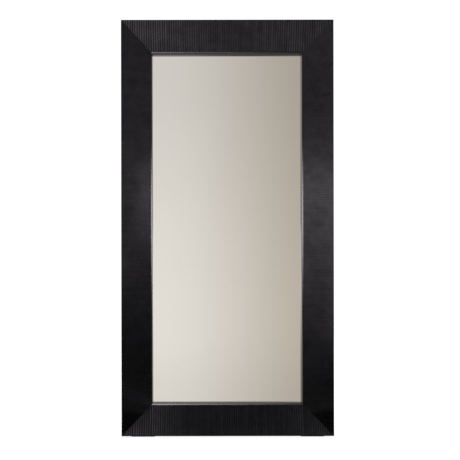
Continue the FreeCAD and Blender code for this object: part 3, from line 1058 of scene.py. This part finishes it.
def model_bumpers(material):
    """The rubber bumpers: a turned profile with a stem and a moulded dimple, copied to each corner."""
    low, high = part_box("top_right_bumper")
    base = (high.x - low.x) / 2
    height = high.y - FRAME_BACK
    stem, reach, taper, lip, dimple = 0.003, 0.012, 0.002, 0.001, 0.0026
    face = base - taper
    profile = [
        (0, -reach), (stem, -reach), (stem, 0), (base, 0), (base, 0.6 * lip), (base - 0.3 * lip, lip),
        (face + 0.2 * lip, height - 1.1 * lip), (face - 0.1 * lip, height - 0.6 * lip),
        (face - 0.4 * lip, height - 0.2 * lip), (face - lip, height), (dimple, height),
        (dimple - 0.4 * lip, height - 0.6 * lip), (0, height - 0.7 * lip)]
    bumper = draw_line("bumper", [(x, 0, z) for x, z in profile])
    turn_round(40)
    leave_edit()
    copies = []
    for name in CORNER_TURNS:
        low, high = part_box(name + "_bumper")
        centre = Vector(((low.x + high.x) / 2, FRAME_BACK, (low.z + high.z) / 2))
        copies.append((name + "_bumper_rubber", "frame", name + "_bumper",
                       Matrix.Translation(centre) @ TO_BACK))
    set_copies(bumper, copies, material, 32.0)


def model_pads(fittings, material):
    """The floor pads: blocks with rounded corners and edges, sunk round their screws."""
    for side in HANDS:
        piece = start_block(side + "_pad_rubber", *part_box(side + "_floor_pad"))
        pick(piece, "edges", lambda edge: runs_along(edge, 2))
        round_edges(fittings.pad_corner, 5)
        pick(piece, "edges", lambda edge: meets(ends(edge)[0].z, ends(edge)[1].z))
        round_edges(fittings.pad_arris, 2)

        # Each well is a cone that starts just below the pad
        wide, narrow, depth, below = 0.0042, 0.0018, 0.0033, 0.0002
        take_out(piece, [cone((place.x, place.y, depth / 2 - below), wide, narrow, depth)
                         for place in pad_screw_places(side, fittings)])
        finish_piece(piece, "frame", [side + "_floor_pad"], material)


# Studio

CAMERA_PLACE = Vector((-0.135, BOX_LOW.y - 3.0, 0.9))
CAMERA_LENS = 45.90
CAMERA_SHIFT = (0.0626, 0.0671)
CAMERA_ROLL = radians(0.092)

# Lamps: place, height of the point on the mirror's axis that each faces, and size
LAMPS = {
    "window": ((-1.35, -3.0, 1.42), 1.2, (1.0, 0.7)),
    "fill": ((1.6, -3.0, 1.6), 1.2, (1.0, 1.4)),
    "back": ((1.2, 3.0, 2.4), 1.0, (2.0, 2.0)),
}

# Tones of the dim room, as shares of its level. Up its two sides they go by rise, which is height added to
# distance from the mirror, and across its middle by bearing, which is the share of that distance sideways.
ROOM_LEVEL = (4.8, 4.46, 4.94)
ROOM_RISE = 11.0
WINDOW_SIDE = (
    (0.02, 0.13), (0.05, 0.045), (0.154, 0.048), (0.24, 0.055), (0.277, 0.065), (0.455, 0.155),
    (0.536, 0.235), (0.595, 0.32), (0.645, 0.37), (0.682, 0.46), (0.709, 0.58), (0.741, 0.58),
    (0.775, 0.33), (0.805, 0.225), (0.845, 0.175), (0.93, 0.18))
FAR_SIDE = (
    (0.02, 0.28), (0.05, 0.075), (0.10, 0.035), (0.154, 0.030), (0.277, 0.045), (0.455, 0.072),
    (0.536, 0.098), (0.595, 0.135), (0.645, 0.16), (0.682, 0.18), (0.72, 0.225), (0.755, 0.22),
    (0.79, 0.18), (0.827, 0.165), (0.864, 0.16), (0.93, 0.135))
ROOM_MIDDLE = (
    (0.30, 0.28), (0.36, 0.245), (0.40, 0.235), (0.49, 0.245), (0.55, 0.22), (0.61, 0.19),
    (0.67, 0.225), (0.73, 0.31), (0.79, 0.55))
ROOM_ASIDE = (0.12, 0.12, 0.12)
BEHIND_MIRROR = (0.7, 0.7, 0.7)

# What the glass mirrors, to the left and to the right
WARM_LEFT = (0.79, 0.78, 0.757)
WARM_RIGHT = (0.49, 0.448, 0.395)

# What matt surfaces receive, and the paper that the camera sees
EVEN_TONE = (0.18, 0.18, 0.18)
PAPER = (0.8, 0.8, 0.8)
PAPER_LIFT = 0.88


def make_sweep():
    """A seamless studio floor that curves up into a wall all round."""
    radius, cove, top = 6.0, 1.5, 6.0
    edge = cove - radius
    sweep = draw_line("studio_sweep", [(0, -step, 0) for step in (0, 1, 2, 3)] + [(0, edge, 0)])
    pick(sweep, "verts", lambda vert: vert.co.y < edge + 0.001)
    bpy.ops.mesh.spin(steps=16, angle=radians(90), center=(0, edge, cove), axis=(1, 0, 0))
    extrude((0, 0, top - cove))
    turn_round(96, 10 * CLOSE, inside=True)
    leave_edit()
    bpy.ops.object.shade_smooth()
    sweep.data.materials.append(sweep_finish())


def mirrored_tone(finish, x, y, z):
    """A warm tone that falls off to the right, by where on the glass each point is mirrored."""
    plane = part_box("mirror_glass")[0].y
    reach = plane - CAMERA_PLACE.y
    nearness = reach / (reach + plane - y)
    glass_x = CAMERA_PLACE.x + (x - CAMERA_PLACE.x) * nearness
    glass_z = CAMERA_PLACE.z + (z - CAMERA_PLACE.z) * nearness
    warm = finish.blend(finish.ease(glass_x, -0.38, 0.52), WARM_LEFT, WARM_RIGHT)
    upper = finish.ease(glass_z, 0.6, 2.0, 0.0, 0.20)
    lower = finish.ease(glass_z, 0.1, 0.55, 0.12, 0.0)
    return finish.tint(warm, 1.08 - upper - lower)


def room_tone(finish, x, y, z):
    """What the lacquer mirrors: a dim room in front of the mirror, and pale paper behind it."""
    far = finish.maths("SQRT", x * x + y * y)
    bearing = x / far
    rise = z + far
    window_side, far_side, middle = (
        finish.node("ShaderNodeValToRGB", {"Fac": value}, stops=stops)["Color"]
        for stops, value in (
            (WINDOW_SIDE, rise / ROOM_RISE), (FAR_SIDE, rise / ROOM_RISE), (ROOM_MIDDLE, bearing + 0.5)))

    # The two sides, with a pale patch high on the right and a paler corner on the left
    patch = 1.1 * finish.band(bearing, 0.345, 0.385, 0.42, 0.48) * finish.band(rise, 6.8, 7.6, 7.9, 8.8)
    sides = finish.blend(finish.ease(x, -0.3, 0.5), window_side, finish.tint(far_side, 1 + patch))
    corner = (finish.spread(bearing, -0.21, -0.18) * finish.spread(bearing, -0.165, -0.14, 1.0, 0.0)
              * finish.spread(rise, 6.5, 6.8))
    level = (finish.ease(abs(bearing), 0.42, 0.6, 1.0, 0.15) * finish.ease(bearing, -0.27, -0.20, 1.0, 1.5)
             * finish.spread(bearing, -0.10, 0.0, 1.0, 0.667) * (1 + 0.8 * corner))

    # The middle, dimmer further up and towards its ends
    lean = finish.spread(rise, 6.9, 7.8, 0.0, 0.07)
    centred = (finish.ease(bearing + lean, -0.168, -0.140) * finish.ease(bearing, 0.295, 0.320, 1.0, 0.0)
               * finish.spread(rise, 6.0, 6.6))
    inner = finish.spread(bearing, -0.13, -0.06, 0.5, 1.0) * finish.spread(bearing, 0.15, 0.21, 1.0, 0.36)
    fade = 1 - finish.ease(rise, 7.15, 7.6) * (1 - 0.45 * inner)
    room = finish.blend(centred, finish.tint(sides, level), finish.tint(middle, fade))

    # Far to the side, and behind the mirror
    aside = finish.ease(abs(bearing), 0.5, 0.7) * finish.spread(rise, 1.5, 2.5)
    room = finish.product(finish.blend(aside, room, ROOM_ASIDE), ROOM_LEVEL)
    return finish.blend(finish.ease(y, -0.2, 1.5), room, BEHIND_MIRROR)


def sweep_finish():
    """Pale paper: white to the camera, warm in the glass, a dim room in the lacquer, even to the rest."""
    finish = new_finish("studio_paper")
    x, y, z = (finish.axis(name) for name in "XYZ")
    path = finish.node("ShaderNodeLightPath", {})

    # Paper lifted to white, with a painted shadow under the frame where the lift is a little less
    under = (finish.ease(abs(x), BOX_HIGH.x - 0.02, BOX_HIGH.x + 0.05, 1.0, 0.0)
             * finish.ease(abs(y), 0.05, 0.14, 1.0, 0.0))
    lift = finish.light(finish.tint((1, 1, 1), PAPER_LIFT * (1 - 0.06 * under)))
    paper = finish.node("ShaderNodeBsdfDiffuse", {"Color": PAPER})["BSDF"]
    shown = finish.node("ShaderNodeAddShader", {0: paper, 1: lift})[0]

    rough = finish.mix(
        path["Is Glossy Ray"], finish.light(EVEN_TONE), finish.light(room_tone(finish, x, y, z)))
    sharp = finish.mix(path["Is Singular Ray"], rough, finish.light(mirrored_tone(finish, x, y, z)))
    finish.node("ShaderNodeOutputMaterial", {"Surface": finish.mix(path["Is Camera Ray"], sharp, shown)})
    finish.owner.cycles.emission_sampling = "NONE"
    return finish.owner


def add_light(name, place, aim, size, energy, tone):
    data = bpy.data.lights.new(name, "AREA")
    data.shape = "RECTANGLE"
    data.size, data.size_y = size
    data.energy = energy
    data.color = tone
    lamp = bpy.data.objects.new(name, data)
    bpy.context.scene.collection.objects.link(lamp)
    lamp.location = place
    lamp.rotation_euler = (lamp.location - Vector((0, 0, aim))).to_track_quat("Z", "Y").to_euler()
    lamp.visible_camera = False
    lamp.visible_glossy = False


def make_world(scene, ambient):
    """Even light from all round, plain white to the camera, to gloss and through glass."""
    finish = Finish(bpy.data.worlds.new("studio_air"))
    scene.world = finish.owner
    path = finish.node("ShaderNodeLightPath", {})
    shown = path["Is Camera Ray"] + path["Is Glossy Ray"] + path["Is Transmission Ray"]
    strength = finish.spread(shown, 0.0, 1.0, ambient, 1.0)
    light = finish.node("ShaderNodeBackground", {"Color": (1, 1, 1), "Strength": strength})["Background"]
    finish.node("ShaderNodeOutputWorld", {"Surface": light})


def add_camera(scene):
    data = bpy.data.cameras.new("camera")
    data.sensor_width = 36.0
    data.lens = CAMERA_LENS
    data.shift_x, data.shift_y = CAMERA_SHIFT
    camera = bpy.data.objects.new("camera", data)
    scene.collection.objects.link(camera)
    camera.location = CAMERA_PLACE
    camera.rotation_euler = (radians(90), CAMERA_ROLL, 0)
    scene.camera = camera


# Operators

class FLOORMIRROR_OT_rails(bpy.types.Operator):
    """Model the four timber rails"""
    bl_idname = "floor_mirror.rails"
    bl_label = "Timber rails"

    def execute(self, context):
        mirror = context.scene.floor_mirror
        material = timber_finish(mirror.colours)
        for side in RAIL_TURNS:
            model_rail(side, mirror.sizes, material)
        return {"FINISHED"}


class FLOORMIRROR_OT_facings(bpy.types.Operator):
    """Model the four reeded facings"""
    bl_idname = "floor_mirror.facings"
    bl_label = "Reeded facings"

    def execute(self, context):
        mirror = context.scene.floor_mirror
        for side in RAIL_TURNS:
            model_facing(side, mirror.sizes, mirror.colours)
        return {"FINISHED"}


class FLOORMIRROR_OT_slips(bpy.types.Operator):
    """Model the four slips beside the glass"""
    bl_idname = "floor_mirror.slips"
    bl_label = "Slips"

    def execute(self, context):
        mirror = context.scene.floor_mirror
        for side in RAIL_TURNS:
            model_slip(side, mirror.sizes, slip_finish(side, mirror.colours))
        return {"FINISHED"}


class FLOORMIRROR_OT_glass(bpy.types.Operator):
    """Model the mirror glass, and finish its tapes and packers"""
    bl_idname = "floor_mirror.glass"
    bl_label = "Mirror glass"

    def execute(self, context):
        mirror = context.scene.floor_mirror
        model_glass(mirror.sizes, mirror_finish(mirror.sizes, mirror.colours))
        dress([side + "_glass_tape" for side in RAIL_TURNS], foam_finish(mirror.colours))
        dress(["setting_blocks", "edge_packers"], packer_finish(mirror.colours))
        return {"FINISHED"}


class FLOORMIRROR_OT_board(bpy.types.Operator):
    """Finish the backing board and the tongues, and set the board's screws"""
    bl_idname = "floor_mirror.board"
    bl_label = "Backing board"

    def execute(self, context):
        mirror = context.scene.floor_mirror
        dress(["backing_board"], board_finish(mirror.colours))
        dress([name + "_tongue" for name in CORNER_TURNS], ply_finish(mirror.colours))
        places = board_screw_places(mirror.sizes, mirror.fittings)
        steel = plated_finish("board_screw_steel", mirror.colours.screw, 0.32)
        set_screws("backing_screw_set", BOARD_SCREW, places, TO_BACK, "backing_screws", steel)
        return {"FINISHED"}


class FLOORMIRROR_OT_braces(bpy.types.Operator):
    """Model the corner braces and set their screws"""
    bl_idname = "floor_mirror.braces"
    bl_label = "Corner braces"

    def execute(self, context):
        mirror = context.scene.floor_mirror
        model_braces(mirror.fittings, plated_finish("brace_zinc", mirror.colours.zinc, 0.36))
        places = [corner_place(name) @ point
                  for name in CORNER_TURNS for point in brace_hole_points(mirror.fittings)]
        steel = plated_finish("brace_screw_steel", mirror.colours.screw, 0.32)
        set_screws("brace_screw_set", BRACE_SCREW, places, TO_BACK, "brace_screws", steel)
        return {"FINISHED"}


class FLOORMIRROR_OT_hangers(bpy.types.Operator):
    """Model the strap hangers and their rings, and set the straps' screws"""
    bl_idname = "floor_mirror.hangers"
    bl_label = "Strap hangers"

    def execute(self, context):
        mirror = context.scene.floor_mirror
        model_straps(mirror.fittings, plated_finish("strap_zinc", mirror.colours.zinc, 0.34))
        model_rings(mirror.fittings, plated_finish("ring_nickel", mirror.colours.nickel, 0.22))
        steel = plated_finish("strap_screw_steel", mirror.colours.screw, 0.32)
        for side in HANDS:
            places = [hanger_axis(side) + point for point in strap_hole_points(mirror.fittings)]
            set_screws(side + "_strap_screw_set", STRAP_SCREW, places, TO_BACK, side + "_strap_screws", steel)
        return {"FINISHED"}


class FLOORMIRROR_OT_feet(bpy.types.Operator):
    """Model the bumpers and the floor pads, and set the pads' screws"""
    bl_idname = "floor_mirror.feet"
    bl_label = "Bumpers and pads"

    def execute(self, context):
        mirror = context.scene.floor_mirror
        model_bumpers(rubber_finish("bumper_rubber", mirror.colours, 0.55))
        model_pads(mirror.fittings, rubber_finish("pad_rubber", mirror.colours, 0.7))
        places = [place for side in HANDS for place in pad_screw_places(side, mirror.fittings)]
        steel = plated_finish("pad_screw_steel", mirror.colours.screw, 0.34)
        set_screws("pad_screw_set", PAD_SCREW, places, TO_FLOOR, "floor_pad_screws", steel)
        return {"FINISHED"}


class FLOORMIRROR_OT_studio(bpy.types.Operator):
    """Set up the floor, the lights and the camera"""
    bl_idname = "floor_mirror.studio"
    bl_label = "Studio"

    def execute(self, context):
        lights = context.scene.floor_mirror.lights
        make_sweep()
        for name, (place, aim, size) in LAMPS.items():
            add_light(name + "_light", place, aim, size,
                      getattr(lights, name + "_power"), getattr(lights, name + "_colour"))
        make_world(context.scene, lights.ambient)
        add_camera(context.scene)
        context.scene.view_settings.view_transform = "Standard"
        return {"FINISHED"}


class FLOORMIRROR_PT_panel(bpy.types.Panel):
    bl_label = "Floor mirror"
    bl_idname = "FLOORMIRROR_PT_panel"
    bl_space_type = "VIEW_3D"
    bl_region_type = "UI"
    bl_category = "Floor mirror"

    def draw(self, context):
        for operator in OPERATORS:
            self.layout.operator(operator.bl_idname)
        for group in FloorMirror.__annotations__:
            values = getattr(context.scene.floor_mirror, group)
            for name in values.__annotations__:
                self.layout.prop(values, name)


OPERATORS = (
    FLOORMIRROR_OT_rails,
    FLOORMIRROR_OT_facings,
    FLOORMIRROR_OT_slips,
    FLOORMIRROR_OT_glass,
    FLOORMIRROR_OT_board,
    FLOORMIRROR_OT_braces,
    FLOORMIRROR_OT_hangers,
    FLOORMIRROR_OT_feet,
    FLOORMIRROR_OT_studio,
)
GROUPS = (FrameSizes, FittingSizes, FinishColours, StudioLights, FloorMirror)
CLASSES = (*GROUPS, *OPERATORS, FLOORMIRROR_PT_panel)


def register():
    for kind in CLASSES:
        bpy.utils.register_class(kind)
    bpy.types.Scene.floor_mirror = PointerProperty(type=FloorMirror)


def unregister():
    del bpy.types.Scene.floor_mirror
    for kind in reversed(CLASSES):
        bpy.utils.unregister_class(kind)


def main():
    register()
    for operator in OPERATORS:
        name = operator.bl_idname.split(".")[1]
        getattr(bpy.ops.floor_mirror, name)()


if __name__ == "__main__":
    main()
